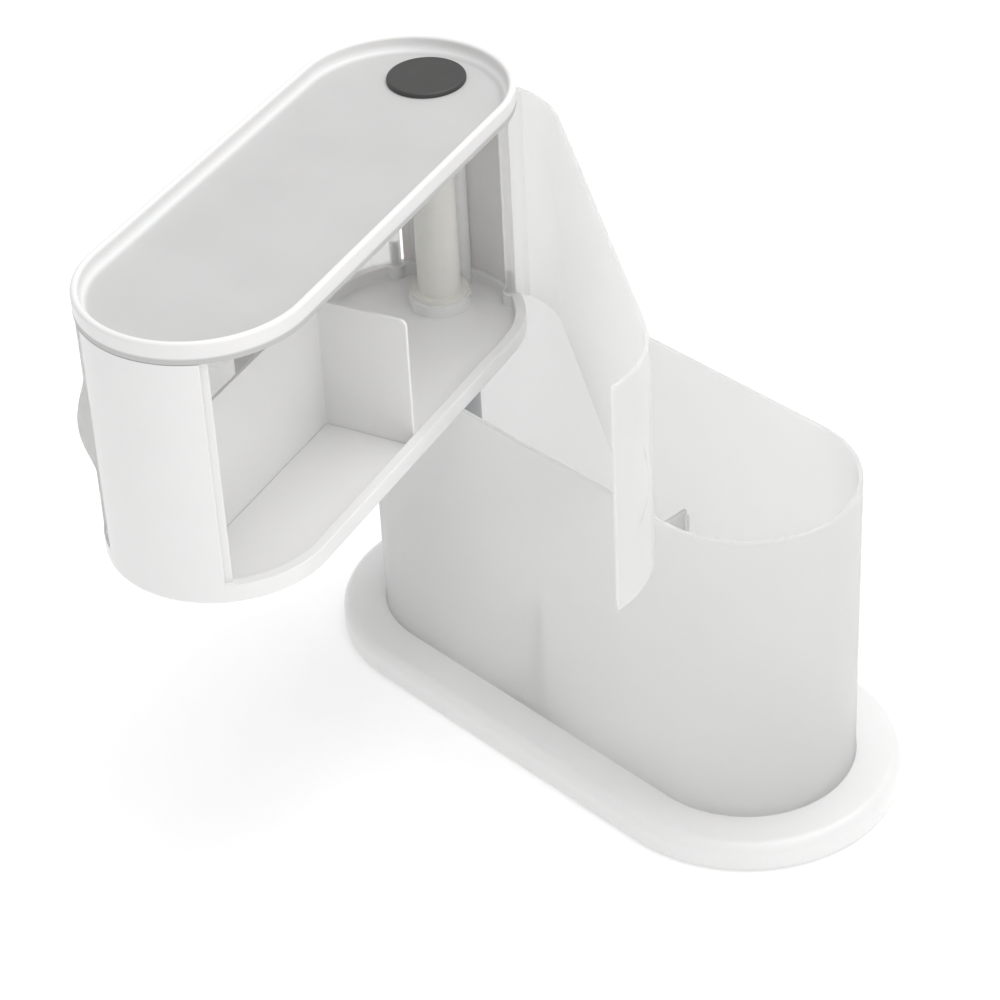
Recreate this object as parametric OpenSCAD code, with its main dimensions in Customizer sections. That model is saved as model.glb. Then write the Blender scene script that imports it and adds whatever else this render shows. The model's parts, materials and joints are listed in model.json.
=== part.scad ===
// Two-level vanity organizer: a fixed lower bin on a wide base, and an upper
// tier that swivels about an off-centre column and is closed on both long
// sides by swing doors. Millimetres, +Z up. The origin is on the surface that
// the feet stand on, under the swivel axis. +X runs along the base.

/* [Outline] */
// Radius of the round ends of the bin, the tier and the tray
end_r = 45; // [43:0.5:48]
// Distance between the centres of the two round ends
end_spacing = 153; // [135:1:170]
// Distance from the swivel axis to the centre of the round end it stands in
axis_inset = 20; // [18:0.5:22]

/* [Base] */
// Width of base that shows all round the bin
base_margin = 19; // [16:0.5:24]
// Height of the top of the base above the surface
base_top = 13; // [12:0.5:16]
// Radius of the rounded upper edge of the base
base_edge = 5; // [3:0.5:6]
// Thickness of the rubber feet that shows below the base
foot_drop = 1.2; // [1:0.1:2]

/* [Lower bin] */
// Height of the rim of the bin above the surface
bin_rim = 148.5; // [130:0.5:160]
// Thickness of the wall of the bin
bin_wall = 2; // [1.6:0.1:2.5]
// Distance from the swivel axis to the divider in the bin
bin_divider_x = 99; // [80:1:115]
// Height of the divider in the bin
bin_divider_h = 58; // [40:1:110]

/* [Upper tier] */
// Gap between the rim of the bin and the underside of the tier
level_gap = 1.5; // [1:0.1:3]
// Height of the door openings
opening_h = 97; // [90:0.5:110]
// Height of the sill under the doors, from the underside of the tier
sill_h = 8; // [7:0.5:10]
// Width of the sill
sill_w = 4.5; // [4.2:0.1:5.5]
// Thickness of the end walls of the tier
tier_wall = 2.25; // [2:0.05:3]
// Half angle of the wall at the swivel end
rear_half = 31; // [29:1:33]
// Angle from the axis of the tier to the right edge of the front wall
front_right = 32.5; // [28:0.5:40]
// Angle from the axis of the tier to the left edge of the front wall
front_left = 38; // [28:0.5:42]
// Distance from the swivel axis to the cross board of the divider in the tier
tier_divider_x = 96; // [75:1:110]
// Height of the divider in the tier
tier_divider_h = 58.5; // [30:0.5:70]

/* [Tray] */
// Height of the tray from its underside to the top of its rim
tray_h = 9; // [8:0.5:12]
// Width of the rim of the tray
tray_rim = 3; // [2.5:0.1:4]
// Radius of the cap over the swivel axis
cap_r = 16; // [15:0.5:18]

/* [Doors] */
// Thickness of the door shells
door_wall = 1.8; // [1.5:0.1:2]
// Angle round the rear end from the axis of the tier to the door hinges
hinge_angle = 139; // [138:0.5:140]
// Radius of the hinge barrels
barrel_r = 2.6; // [2.4:0.1:2.7]

/* [Pose] */
// Angle that the tier is swung out from over the bin
tier_swing = 71; // [0:1:180]
// Angle that the right door stands open
right_open = 38; // [0:1:100]
// Angle that the left door stands open
left_open = 0; // [0:1:100]

/* [Hidden] */
$fn = 96;
eps = 0.01;

// Clearances
slip_gap = 0.2;      // a moulded piece that drops into another
run_gap = 0.05;      // a turning pin or shaft in its hole, on the radius
door_gap = 0.5;      // above, below and outside a closed door
stop_gap = 0.3;      // a closed door from the lip that it covers
post_gap = 0.35;     // a post of the tray from the wall of the tier

// Centres of the two round ends
rear_x = axis_inset;
front_x = axis_inset + end_spacing;

// Base
base_r = end_r + base_margin;
base_skin = 2.5;
base_deck = 3.5;
deck_low = base_top - base_deck;
bin_recess = 1.5;
under_t = 2;
under_top = foot_drop + under_t;
under_r = base_r - base_skin - slip_gap;
foot_r = 7;
foot_recess = 0.5;
base_rib_t = 1.8;
base_rib_in = 30;
base_rib_shift = 12;
plate_boss_r = 4;
plate_screw_r = 1.5;
plate_head_r = 3;
plate_head_h = 1.2;
plate_y = base_r - 14;
// Screw places for the underplate and places for the feet
plate_spots = [for (x = [rear_x, (rear_x + front_x) / 2, front_x], side = [-1, 1]) [x, side * plate_y]];
foot_spots = [for (x = [rear_x + 25, front_x - 25], side = [-1, 1]) [x, side * plate_y],
              [rear_x - plate_y, 0], [0, 0], [front_x + plate_y, 0]];

// Bin
bin_low = base_top - bin_recess;
bin_floor_t = 2.5;
bin_floor = bin_low + bin_floor_t;
bin_inner = end_r - bin_wall;
divider_t = 1.8;
guide_t = 1.2;
guide_reach = 1.5;
bin_boss_r = 4.5;
bin_boss_h = 8;
bin_screw_y = 22;
deck_screw_r = 2;
deck_head_r = 3.6;
deck_head_h = 2.4;

// Swivel
column_r = 14.5;
column_wall = 2.5;
column_cap_t = 6;
axle_r = 5;
axle_seat = 52;
axle_sheath = 2.5;
column_screws_r = 9.5;
column_boss_r = 3.6;
column_boss_h = 20;
washer_t = level_gap + 0.2;
tier_low = bin_rim + level_gap;
column_top = tier_low - washer_t;
tube_r = 9;
tube_flange_r = 12;
tube_flange_t = 2;

// Tier
floor_t = 2.5;
tier_floor = tier_low + floor_t;
sill_top = tier_low + sill_h;
tray_low = sill_top + opening_h;
tray_rim_z = tray_low + tray_h;
tier_inner = end_r - tier_wall;
shroud_t = 1.1;
shroud_angle = 144.2;
tier_edge = 1.5;
post_r = 4.5;
post_in = 6.5;
post_half = 18;
post_shelf = 2.5;
tray_screw_r = 1.5;
tray_head_r = 3;
tray_head_h = 2.4;
hub_boss_r = 13;
tier_divider_t = 1.6;
divider_corner = 3;
divider_groove = 1;
// Lip beyond each edge of the front wall, which the closed door covers
lip_t = 1.4;
lip_arc = 4;
// Screw posts inside the end walls, two at the front end and one at the swivel end
posts = [for (side = [-1, 1]) on_end(front_x, end_r - post_in, side * post_half),
         on_end(rear_x, end_r - post_in, 180)];

// Tray
tray_floor_t = 2;
tray_floor = tray_low + tray_floor_t;
tray_fillet = 4;
tray_low_edge = 0.8;
tray_boss_r = 15;
pocket_r = 12.5;
web_t = 2.5;
web_low = tray_low - 8;
web_top = web_low + web_t;
socket_h = 3;
tray_post_r = post_in - tier_wall - post_gap;
post_top = web_low - socket_h - door_gap;

// Axle head, above the web of the tray
axle_top = web_top + door_gap;
axle_washer_r = 11;
axle_washer_t = 1.2;
axle_screw_r = 3;
axle_head_r = 6;
axle_head_h = 3.5;
axle_screw_l = 18;
cap_t = 2;
cap_skirt = 4;
cap_skirt_r = pocket_r - slip_gap / 2;
cap_edge = 1;

// Doors
door_r = end_r - door_gap;
door_inner = door_r - door_wall;
door_low = sill_top + door_gap;
door_top = tray_low - door_gap;
door_h = door_top - door_low;
hinge_r = door_r + 0.3 - barrel_r;
stile_arc = 10;
stile_t = 1.4;
edge_gap_angle = 1;
pin_r = 1.25;
pin_seat = 10;
pin_low_reach = 4;
pin_high_reach = 2.4;
pin_end_gap = 0.3;
hinge_boss_r = 4;
// Finger pull near the free edge of each door
pull_h = 34;
pull_rise = 4.5;
pull_turn = 14;
pull_plan_r = 12;

function on_end(centre_x, r, a) = [centre_x + r * cos(a), r * sin(a)];
hinge_spot = on_end(rear_x, hinge_r, hinge_angle);

// ---------- shared shapes ----------

// The long outline with two round ends, r from its centre line
module outline(r) {
    for (x = [rear_x, front_x]) translate([x, 0]) circle(r);
    translate([rear_x, -r]) square([end_spacing, 2 * r]);
}

module slab(r, low, high) {
    translate([0, 0, low]) linear_extrude(high - low) outline(r);
}

// Sweeps a half section round the outline; its x is the distance from the centre line
module round_outline() {
    translate([front_x, 0, 0]) rotate([0, 0, -90]) rotate_extrude(angle = 180) children();
    translate([rear_x, 0, 0]) rotate([0, 0, 90]) rotate_extrude(angle = 180) children();
    for (flip = [0, 1]) mirror([0, flip, 0]) translate([rear_x, 0, 0])
        rotate([90, 0, 90]) linear_extrude(end_spacing) children();
}

// Upright cylinder at a plan position, from one height to another
module post(spot, r, low, high) {
    translate([spot[0], spot[1], low]) cylinder(r = r, h = high - low);
}

// Plan region beyond one round end, between two angles seen from the centre of that end
module wedge(centre_x, from, to) {
    far = 3 * end_r;
    steps = ceil((to - from) / 60);
    polygon([[centre_x, 0], for (i = [0 : steps]) on_end(centre_x, far, from + i * (to - from) / steps)]);
}

// Plan of a curved wall round one round end
module wall_plan(centre_x, outer, inner, from, to) {
    intersection() {
        difference() {
            translate([centre_x, 0]) circle(outer);
            translate([centre_x, 0]) circle(inner);
        }
        wedge(centre_x, from, to);
    }
}

// Screw pointing up: head below, shank above
module screw_up(spot, r, head_r, head_h, seat, tip) {
    post(spot, head_r, seat - head_h, seat);
    post(spot, r, seat, tip);
}

// Turns a piece of the tier out to where it stands
module in_tier() {
    rotate([0, 0, -tier_swing]) children();
}

// Turns a door about its hinge; side is 1 for the right door and -1 for the left
module in_door(side) {
    spot = [hinge_spot[0], side * hinge_spot[1], 0];
    opened = side > 0 ? right_open : -left_open;
    in_tier() translate(spot) rotate([0, 0, opened]) translate(-spot) children();
}

// ---------- base ----------

module base_section() {
    translate([0, foot_drop]) square([base_r - base_edge, base_top - foot_drop]);
    translate([0, foot_drop + 1]) square([base_r, base_top - foot_drop - 1 - base_edge]);
    translate([base_r - base_edge, base_top - base_edge]) circle(base_edge);
    translate([0, foot_drop]) square([base_r - 1, 2]);
    translate([base_r - 1, foot_drop + 1]) circle(1);
}

module base_ribs() {
    rib_h = deck_low - under_top - 1;
    translate([rear_x - base_r + base_skin - eps, -base_rib_t / 2, under_top + 1])
        cube([end_spacing + 2 * (base_r - base_skin), base_rib_t, rib_h + eps]);
    for (x = [rear_x + base_rib_in, (rear_x + front_x) / 2 - base_rib_shift, front_x - base_rib_in])
        translate([x, -base_r + base_skin - eps, under_top + 1])
            cube([base_rib_t, 2 * (base_r - base_skin), rib_h + eps]);
}

column_spots = [for (a = [60, 180, 300]) [column_screws_r * cos(a), column_screws_r * sin(a)]];
bin_spots = [for (side = [-1, 1]) [front_x + 15, side * bin_screw_y]];

module base_plate() {
    color("white") difference() {
        union() {
            difference() {
                round_outline() base_section();
                slab(base_r - base_skin, foot_drop - 1, deck_low);
            }
            base_ribs();
            for (spot = plate_spots) post(spot, plate_boss_r, under_top, deck_low + eps);
        }
        slab(end_r + slip_gap, bin_low, base_top + 1);
        for (spot = plate_spots) post(spot, plate_screw_r, under_top - 1, deck_low);
        for (spot = concat(column_spots, bin_spots)) {
            post(spot, deck_screw_r + 0.1, deck_low - 1, base_top);
            post(spot, deck_head_r + 0.6, under_top, deck_low);
        }
    }
}

module base_underplate() {
    color("gainsboro") difference() {
        slab(under_r, foot_drop, under_top);
        for (spot = foot_spots) post(spot, foot_r, 0, foot_drop + foot_recess);
        for (spot = plate_spots) {
            post(spot, plate_screw_r + 0.2, 0, under_top + 1);
            post(spot, plate_head_r + 0.2, 0, foot_drop + plate_head_h);
        }
    }
}

module underplate_screws() {
    color("silver") for (spot = plate_spots)
        screw_up(spot, plate_screw_r, plate_head_r, plate_head_h, foot_drop + plate_head_h, deck_low - 0.5);
}

module rubber_feet() {
    color("dimgray") for (spot = foot_spots) post(spot, foot_r, 0, foot_drop + foot_recess);
}

// ---------- lower bin ----------

module bin_section() {
    rim = bin_wall / 2;
    translate([0, bin_low]) square([end_r, bin_floor_t]);
    translate([bin_inner, bin_low]) square([bin_wall, bin_rim - rim - bin_low]);
    translate([bin_inner + rim, bin_rim - rim]) circle(rim);
}

module bin_guides() {
    for (side = [-1, 1], lean = [-1, 1])
        translate([bin_divider_x + lean * (divider_t + guide_t) / 2 - guide_t / 2,
                   side * (bin_inner - guide_reach / 2) - guide_reach / 2, bin_floor - eps])
            cube([guide_t, guide_reach + eps, bin_divider_h - 2]);
}

module lower_bin() {
    color("whitesmoke", 0.6) difference() {
        union() {
            round_outline() bin_section();
            bin_guides();
            for (spot = bin_spots) post(spot, bin_boss_r, bin_floor - eps, bin_floor + bin_boss_h);
        }
        for (spot = column_spots) post(spot, deck_screw_r + 0.1, bin_low - 1, bin_floor + 1);
        for (spot = bin_spots) post(spot, deck_screw_r, bin_low - 1, bin_floor + bin_boss_h - 2);
    }
}

module bin_divider() {
    reach = bin_inner - slip_gap;
    color("whitesmoke", 0.6) translate([bin_divider_x - divider_t / 2, -reach, bin_floor])
        cube([divider_t, 2 * reach, bin_divider_h]);
}

module deck_screws(spots, length) {
    for (spot = spots) screw_up(spot, deck_screw_r, deck_head_r, deck_head_h, deck_low, deck_low + length);
}

module bin_screws() {
    color("silver") deck_screws(bin_spots, bin_floor + bin_boss_h - 3 - deck_low);
}

module column_screws() {
    color("silver") deck_screws(column_spots, bin_floor + column_boss_h - 4 - deck_low);
}

// ---------- swivel ----------

module pivot_column() {
    inner = column_r - column_wall;
    cap_low = column_top - column_cap_t;
    seat_low = column_top - axle_seat;
    color("darkgray") difference() {
        union() {
            difference() {
                post([0, 0], column_r, bin_floor, column_top);
                post([0, 0], inner, bin_floor - 1, cap_low);
            }
            post([0, 0], axle_r + axle_sheath, seat_low, cap_low + eps);
            for (a = [0, 120, 240]) rotate([0, 0, a])
                translate([axle_r + 1, -1, seat_low]) cube([inner - axle_r - 0.5, 2, cap_low - seat_low + eps]);
            for (spot = column_spots) post(spot, column_boss_r, bin_floor, bin_floor + column_boss_h);
        }
        post([0, 0], axle_r, seat_low, column_top + 1);
        for (spot = column_spots) post(spot, deck_screw_r, bin_floor - 1, bin_floor + column_boss_h - 2);
    }
}

module bearing_washer() {
    color("ivory") difference() {
        post([0, 0], column_r - 0.5, column_top, tier_low);
        post([0, 0], axle_r + run_gap, column_top - 1, tier_low + 1);
    }
}

module pivot_axle() {
    low = column_top - axle_seat;
    color("silver") difference() {
        union() {
            translate([0, 0, low]) cylinder(r1 = axle_r - 0.6, r2 = axle_r, h = 0.6);
            post([0, 0], axle_r, low + 0.6, axle_top);
        }
        post([0, 0], axle_screw_r, axle_top - axle_screw_l, axle_top + 1);
    }
}

module axle_washer() {
    color("silver") difference() {
        post([0, 0], axle_washer_r, axle_top, axle_top + axle_washer_t);
        post([0, 0], axle_screw_r + 0.2, axle_top - 1, axle_top + axle_washer_t + 1);
    }
}

module axle_screw() {
    seat = axle_top + axle_washer_t;
    color("silver") difference() {
        union() {
            post([0, 0], axle_screw_r, axle_top - axle_screw_l + 1, seat);
            post([0, 0], axle_head_r, seat, seat + axle_head_h);
        }
        translate([0, 0, seat + 1.5]) cylinder(r = 2.9, h = axle_head_h, $fn = 6);
    }
}

// ---------- upper tier ----------

module tier_section() {
    translate([0, tier_low]) square([end_r - tier_edge, floor_t]);
    translate([end_r - sill_w, tier_low]) square([sill_w - tier_edge, sill_h]);
    translate([end_r - tier_edge - eps, tier_low + tier_edge]) square([tier_edge + eps, sill_h - tier_edge]);
    translate([end_r - tier_edge, tier_low + tier_edge]) circle(tier_edge);
}

module tier_walls() {
    translate([0, 0, sill_top]) linear_extrude(opening_h) {
        wall_plan(front_x, end_r, tier_inner, -front_left, front_right);
        wall_plan(rear_x, end_r, tier_inner, 180 - rear_half, 180 + rear_half);
        wall_plan(rear_x, end_r, end_r - shroud_t, shroud_angle, 360 - shroud_angle);
    }
}

// Lip that the free edge of a door closes against; side is 1 for the right door and -1 for the left
module door_lip(side, edge_angle) {
    lip_r = door_inner - stop_gap;
    mirror([0, side > 0 ? 0 : 1, 0]) translate([0, 0, sill_top - eps]) linear_extrude(opening_h + eps) {
        wall_plan(front_x, lip_r, lip_r - lip_t, edge_angle - lip_arc, edge_angle + lip_arc);
        wall_plan(front_x, tier_inner + tier_wall / 2, lip_r - lip_t, edge_angle - lip_arc, edge_angle - 0.5);
    }
}

// Bosses in the sill that the lower door pins stand in, flush with the outside
module hinge_bosses() {
    intersection() {
        union() {
            for (side = [-1, 1])
                post([hinge_spot[0], side * hinge_spot[1]], hinge_boss_r, tier_floor - eps, sill_top);
        }
        slab(end_r - 1, tier_low, tray_low);
    }
}

// Grooves in the floor that the two boards of the divider stand in
module divider_seat() {
    half_t = tier_divider_t / 2 + slip_gap;
    low = tier_floor - divider_groove;
    translate([tier_divider_x - half_t, sill_w - end_r, low])
        cube([2 * half_t, 2 * (end_r - sill_w), divider_groove + 1]);
    translate([tier_divider_x, -half_t, low])
        cube([front_x + end_r - sill_w - tier_divider_x, 2 * half_t, divider_groove + 1]);
}

module tier_body() {
    color("white") in_tier() difference() {
        union() {
            round_outline() tier_section();
            tier_walls();
            door_lip(1, front_right);
            door_lip(-1, front_left);
            post([0, 0], hub_boss_r, tier_floor - eps, sill_top);
            for (spot = posts) post(spot, post_r, tier_floor - eps, post_top);
            hinge_bosses();
        }
        divider_seat();
        post([0, 0], tube_r, tier_low - 1, sill_top + 1);
        for (spot = posts) {
            post(spot, tray_head_r + 0.2, tier_low - 1, post_top - post_shelf);
            post(spot, tray_screw_r + 0.2, tier_low, post_top + 1);
        }
        for (side = [-1, 1])
            post([hinge_spot[0], side * hinge_spot[1]], pin_r + run_gap,
                 sill_top - pin_low_reach - pin_end_gap, sill_top + 1);
    }
}

module hub_tube() {
    color("ivory") in_tier() difference() {
        union() {
            post([0, 0], tube_r, tier_low, web_low);
            post([0, 0], tube_flange_r, sill_top, sill_top + tube_flange_t);
        }
        post([0, 0], axle_r + run_gap, tier_low - 1, web_low + 1);
    }
}

// Cross board with rounded upper corners, and a board along the middle from it to the front wall
module tier_divider() {
    reach = end_r - sill_w - slip_gap;
    low = tier_floor - divider_groove;
    over_sill = sill_top + slip_gap - low;
    color("white") in_tier() translate([0, 0, low]) {
        translate([tier_divider_x - tier_divider_t / 2, 0, 0]) rotate([90, 0, 90]) linear_extrude(tier_divider_t) {
            translate([-reach, 0]) square([2 * reach, tier_divider_h - divider_corner]);
            translate([divider_corner - reach, 0]) square([2 * (reach - divider_corner), tier_divider_h]);
            for (side = [-1, 1])
                translate([side * (reach - divider_corner), tier_divider_h - divider_corner]) circle(divider_corner);
        }
        translate([tier_divider_x, -tier_divider_t / 2, 0])
            cube([front_x + reach - tier_divider_x, tier_divider_t, tier_divider_h]);
        translate([tier_divider_x, -tier_divider_t / 2, over_sill])
            cube([front_x + tier_inner - slip_gap - tier_divider_x, tier_divider_t, tier_divider_h - over_sill]);
    }
}

// ---------- tray ----------

module tray_section() {
    rim = tray_rim / 2;
    wall_in = end_r - tray_rim;
    difference() {
        union() {
            translate([0, tray_low]) square([end_r - tray_low_edge, tray_floor_t + tray_fillet]);
            translate([0, tray_low + tray_low_edge]) square([end_r, tray_floor_t + tray_fillet - tray_low_edge]);
            translate([end_r - tray_low_edge, tray_low + tray_low_edge]) circle(tray_low_edge);
            translate([wall_in, tray_low + 1]) square([tray_rim, tray_h - 1 - rim]);
            translate([wall_in + rim, tray_rim_z - rim]) circle(rim);
        }
        translate([-1, tray_floor]) square([wall_in - tray_fillet + 1, tray_h]);
        translate([-1, tray_floor + tray_fillet]) square([wall_in + 1, tray_h]);
        translate([wall_in - tray_fillet, tray_floor + tray_fillet]) circle(tray_fillet);
    }
}

module tray_top() {
    color("white") in_tier() difference() {
        union() {
            round_outline() tray_section();
            post([0, 0], tray_boss_r, web_low - socket_h, tray_floor - eps);
            for (spot = posts) post(spot, tray_post_r, post_top, tray_low + eps);
        }
        post([0, 0], tube_r, web_low - socket_h - 1, web_low);
        post([0, 0], axle_r + 0.3, web_low - 1, web_top + 1);
        post([0, 0], pocket_r, web_top, tray_floor + 1);
        for (spot = posts) post(spot, tray_screw_r, post_top - 1, tray_low);
        for (side = [-1, 1])
            post([hinge_spot[0], side * hinge_spot[1]], pin_r + run_gap,
                 tray_low - 1, tray_low + pin_high_reach + pin_end_gap);
    }
}

module tray_screws() {
    color("silver") in_tier() for (spot = posts)
        screw_up(spot, tray_screw_r, tray_head_r, tray_head_h, post_top - post_shelf, tray_low - 1);
}

module pivot_cap() {
    color("dimgray") in_tier() {
        translate([0, 0, tray_floor]) rotate_extrude() {
            square([cap_r - cap_edge, cap_t]);
            square([cap_r, cap_t - cap_edge]);
            translate([cap_r - cap_edge, cap_t - cap_edge]) intersection() {
                circle(cap_edge);
                square(cap_edge);
            }
        }
        translate([0, 0, tray_floor - cap_skirt]) difference() {
            cylinder(r = cap_skirt_r, h = cap_skirt + eps);
            translate([0, 0, -1]) cylinder(r = cap_skirt_r - 2, h = cap_skirt + 1);
        }
    }
}

// ---------- doors ----------

// Swelling of the door shell that a fingertip pulls on
module finger_pull(edge_angle) {
    bulge_r = (pull_h * pull_h / 4 + pull_rise * pull_rise) / (2 * pull_rise);
    mid_z = (door_low + door_top) / 2;
    crest = door_r + pull_rise;
    intersection() {
        translate([front_x, 0, 0]) rotate([0, 0, edge_angle])
            rotate_extrude(angle = 2 * pull_turn)
                intersection() {
                    translate([crest - bulge_r, mid_z]) circle(bulge_r);
                    translate([door_r - door_wall / 2, mid_z - pull_h]) square([pull_rise * 2, 2 * pull_h]);
                }
        post(on_end(front_x, crest - pull_plan_r, edge_angle + pull_turn), pull_plan_r, door_low, door_top);
    }
}

// Plan region that a door covers, seen from the centre line of the tier
module door_sweep(edge_angle) {
    far = 2 * end_r;
    polygon([[front_x, 0], on_end(front_x, far, edge_angle), [front_x + far, far],
             [rear_x - far, far], on_end(rear_x, far, hinge_angle), [rear_x, 0]]);
}

// A door as it lies closed on the right side of the tier
module door_shell(edge_angle) {
    difference() {
        union() {
            translate([0, 0, door_low]) linear_extrude(door_h) {
                intersection() {
                    difference() {
                        outline(door_r);
                        outline(door_inner);
                    }
                    door_sweep(edge_angle);
                }
                wall_plan(rear_x, door_r, door_inner - stile_t, hinge_angle - stile_arc, hinge_angle);
                translate(hinge_spot) circle(barrel_r);
            }
            finger_pull(edge_angle);
        }
        post(hinge_spot, pin_r, door_low - 1, door_low + pin_seat);
        post(hinge_spot, pin_r, door_top - pin_seat, door_top + 1);
    }
}

module door_pins(spot) {
    post(spot, pin_r, sill_top - pin_low_reach, door_low + pin_seat);
    post(spot, pin_r, door_top - pin_seat, tray_low + pin_high_reach);
}

module right_door() {
    color("whitesmoke", 0.6) in_door(1) door_shell(front_right + edge_gap_angle);
}

module left_door() {
    color("whitesmoke", 0.6) in_door(-1) mirror([0, 1, 0]) door_shell(front_left + edge_gap_angle);
}

module right_door_pins() {
    color("silver") in_door(1) door_pins(hinge_spot);
}

module left_door_pins() {
    color("silver") in_door(-1) door_pins([hinge_spot[0], -hinge_spot[1]]);
}

base_plate();
base_underplate();
underplate_screws();
rubber_feet();
lower_bin();
bin_divider();
bin_screws();
pivot_column();
column_screws();
bearing_washer();
pivot_axle();
axle_washer();
axle_screw();
tier_body();
hub_tube();
tier_divider();
tray_top();
tray_screws();
pivot_cap();
right_door();
right_door_pins();
left_door();
left_door_pins();
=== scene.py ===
"""Two-level vanity organizer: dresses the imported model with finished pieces, materials and a studio stage."""

import math

import bmesh
import bpy
from mathutils import Matrix, Vector
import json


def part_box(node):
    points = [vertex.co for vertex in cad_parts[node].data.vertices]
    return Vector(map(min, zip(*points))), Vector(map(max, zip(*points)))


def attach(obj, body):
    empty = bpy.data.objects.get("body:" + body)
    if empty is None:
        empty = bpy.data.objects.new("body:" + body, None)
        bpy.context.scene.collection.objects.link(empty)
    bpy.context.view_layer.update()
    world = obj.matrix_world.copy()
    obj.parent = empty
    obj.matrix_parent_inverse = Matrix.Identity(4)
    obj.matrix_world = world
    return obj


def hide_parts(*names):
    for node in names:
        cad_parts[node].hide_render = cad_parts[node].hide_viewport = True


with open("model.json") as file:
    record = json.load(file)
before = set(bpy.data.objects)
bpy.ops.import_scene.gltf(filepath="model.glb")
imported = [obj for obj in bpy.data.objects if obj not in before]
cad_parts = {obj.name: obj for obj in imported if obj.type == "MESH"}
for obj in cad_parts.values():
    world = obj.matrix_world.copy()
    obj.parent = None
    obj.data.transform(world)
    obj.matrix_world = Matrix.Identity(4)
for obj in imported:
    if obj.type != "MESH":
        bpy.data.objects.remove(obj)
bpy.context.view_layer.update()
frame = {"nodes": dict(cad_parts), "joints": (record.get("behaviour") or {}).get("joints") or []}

bl_info = {
    "name": "Two-level vanity organizer",
    "version": (1, 0, 0),
    "blender": (4, 5, 0),
    "location": "View3D > Sidebar > Organizer",
    "description": "Frosted lower bin on a wide base, with a swivelling tier, its tray and its swing doors",
    "category": "Add Mesh",
}

MM = 0.001
QUARTER = math.pi / 2
# Points closer together than this are one point
MERGE = 0.002 * MM
# Height of the heads of the screws that hold the column, the bin and the tray
HEAD_H = 2.4 * MM
# Thickness of the disc of the cap, which lies on the tray
CAP_DISC = 2 * MM


# ---------- what the frame says ----------

def joint(name):
    """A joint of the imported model, by its name."""
    return next(j for j in frame["joints"] if j["name"] == name)


def span(node, axis):
    """Lowest and highest place of a node along one axis."""
    low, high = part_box(node)
    return low[axis], high[axis]


RIGHT_HINGE = Vector(joint("right_door_hinge")["pos_m"]).to_2d()
LEFT_HINGE = Vector(joint("left_door_hinge")["pos_m"]).to_2d()
RIGHT_OPEN = -math.radians(joint("right_door_hinge")["range_deg"][0])
HINGE_MIDDLE = (RIGHT_HINGE + LEFT_HINGE) / 2
# Angle of the tier's long axis: the hinges lie behind the swivel axis, on both sides of it
TIER_TURN = math.atan2(-HINGE_MIDDLE.y, -HINGE_MIDDLE.x)
HINGE_X = -HINGE_MIDDLE.length
HINGE_Y = (RIGHT_HINGE - LEFT_HINGE).length / 2
END_R = span("lower_bin", 1)[1]
REAR_X = span("lower_bin", 0)[0] + END_R
FRONT_X = span("lower_bin", 0)[1] - END_R
BIN_LOW, BIN_RIM = span("lower_bin", 2)
TRAY_LOW = span("tier_body", 2)[1]
TRAY_RIM = span("tray_top", 2)[1]
TRAY_FLOOR = span("pivot_cap", 2)[1] - CAP_DISC
DOOR_LOW, DOOR_TOP = span("right_door", 2)
DECK_LOW = span("column_screws", 2)[0] + HEAD_H


# ---------- fits and places ----------

# Radius of the screws' shanks, and what their wider holes add to it
SHANKS = {"underplate_screws": 1.5 * MM, "tray_screws": 1.5 * MM,
          "bin_screws": 2 * MM, "column_screws": 2 * MM}
SCREW_PLAY = 0.1 * MM
# Depth of the heads that are sunk in the underplate
UNDERPLATE_HEAD = 1.2 * MM
# Radii of the bosses and posts, and of the wells that screw heads go through
PLATE_BOSS_R = 4 * MM
POST_R = 4.5 * MM
TRAY_POST_R = 3.9 * MM
HEAD_ROOM_R = 4.2 * MM
HEAD_WELL_R = 3.2 * MM
# Places of the cross ribs of the base, from the centres of its ends and from its middle
END_RIB = 30 * MM
MIDDLE_RIB = 12 * MM
# Thickness and depth of the guides that hold the divider of the bin
GUIDE = 1.2 * MM
GUIDE_DEPTH = 1.5 * MM
# Rounding of a rim, as a share of its thickness
RIM_SHARE = 0.49
# The swivel axis in plan, with the radius of the hub tube, of its boss and of the skirt of the cap
AXIS = Vector((0, 0))
HUB_R = 9 * MM
HUB_BOSS_R = 13 * MM
CAP_SKIRT_R = 12.4 * MM
# Thickness of the floor of the tier, and the place and half the width of the grooves in it
TIER_FLOOR = 2.5 * MM
BOARD_X = 96 * MM
GROOVE = 1 * MM
# Half the angles of the end wall and of its thin wings at the swivel end
REAR_WALL = math.radians(31)
REAR_WING = math.radians(35.8)
# Angle between a door's free edge and the end wall, and half the width of the lip behind it
EDGE_GAP = math.radians(1)
LIP_ARC = math.radians(4)
# Radii of the pin holes in the tier and in the doors, and of the bosses that take the pins
PIN_R = 1.3 * MM
DOOR_BORE_R = 1.25 * MM
PIN_BOSS_R = 4 * MM
BOSS_SIDES = 32
# Place of a finger pull, as an angle before the free edge, and the angle that a stile thins out over
PULL_BACK = math.radians(14)
STILE_FADE = math.radians(2)
# Spacing of the points of a door shell
DOOR_STEP = 1.5 * MM


# ---------- settings ----------

def a_length(name, description, size):
    """A setting that holds a length."""
    return bpy.props.FloatProperty(name=name, description=description, unit="LENGTH", default=size)


def an_angle(name, description, degrees):
    """A setting that holds an angle."""
    return bpy.props.FloatProperty(
        name=name, description=description, subtype="ANGLE", default=math.radians(degrees))


def a_colour(name, description, *rgb):
    """A setting that holds a colour."""
    return bpy.props.FloatVectorProperty(name=name, description=description, subtype="COLOR", default=rgb)


def a_number(name, description, value):
    """A setting without a unit."""
    return bpy.props.FloatProperty(name=name, description=description, default=value)


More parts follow.
